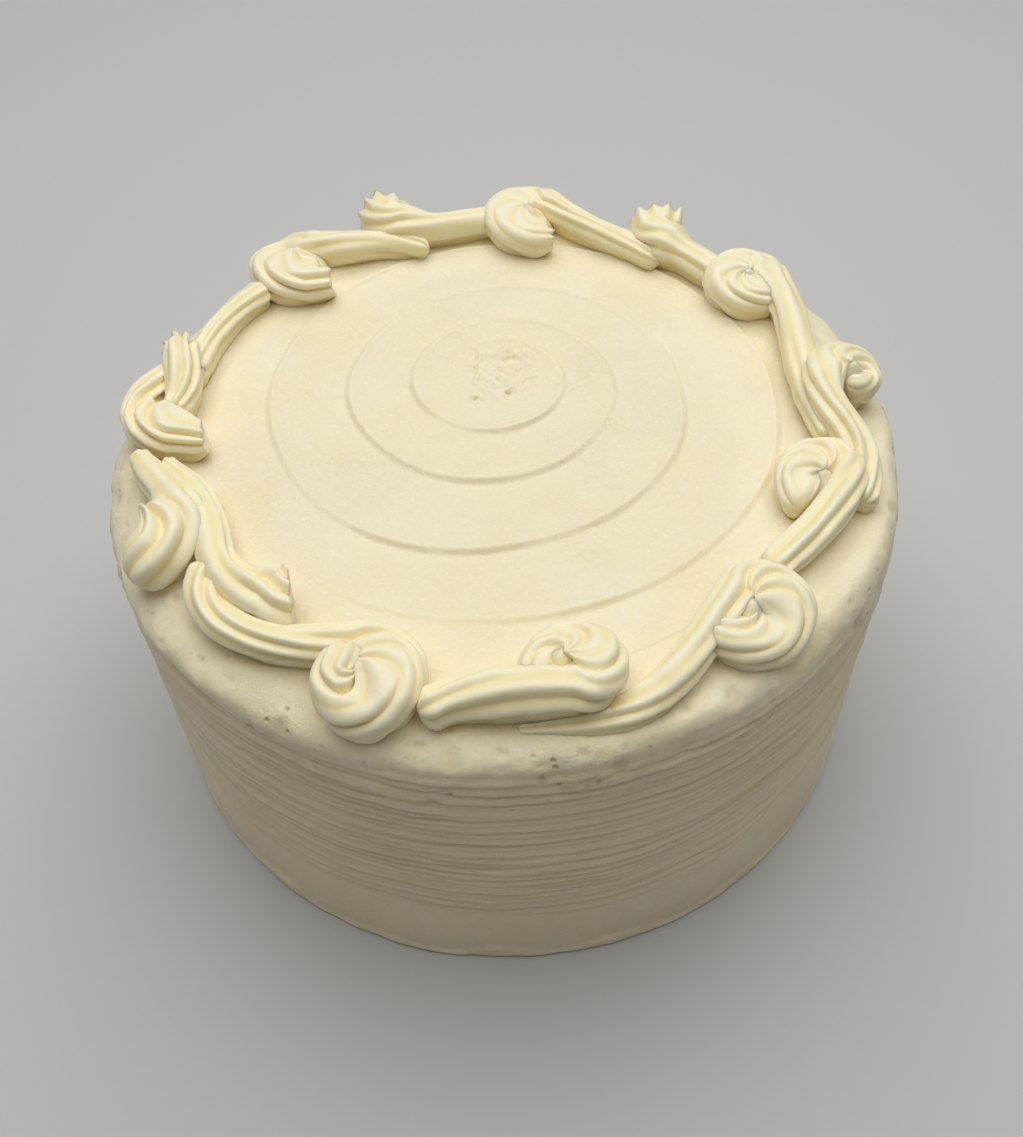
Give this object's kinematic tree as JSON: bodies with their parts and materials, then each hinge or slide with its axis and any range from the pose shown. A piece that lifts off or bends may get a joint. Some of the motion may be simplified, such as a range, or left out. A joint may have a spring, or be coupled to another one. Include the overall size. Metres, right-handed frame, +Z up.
{
  "type": "frosted round cake",
  "caption": "Tall round uncut white cake in smooth pale icing, with a rounded shoulder, a spiral on top, combed sides and a border of ridged piped scrolls.",
  "frame": {"origin": "middle of the cake's flat underside", "axes": "+Z up through the cake, +Y away from the viewer of the picture, +X to the viewer's right"},
  "size_m": [0.2118, 0.2118, 0.1151],
  "materials": {
    "icing": "satin, pale cream",
    "piping": "satin, pale cream"
  },
  "bodies": {
    "root": {"cake": "icing", "scroll_01": "piping", "scroll_02": "piping", "scroll_03": "piping", "scroll_04": "piping", "scroll_05": "piping", "scroll_06": "piping", "scroll_07": "piping", "scroll_08": "piping", "scroll_09": "piping", "scroll_10": "piping", "scroll_11": "piping", "scroll_12": "piping", "scroll_13": "piping", "scroll_14": "piping"}
  },
  "joints": []
}
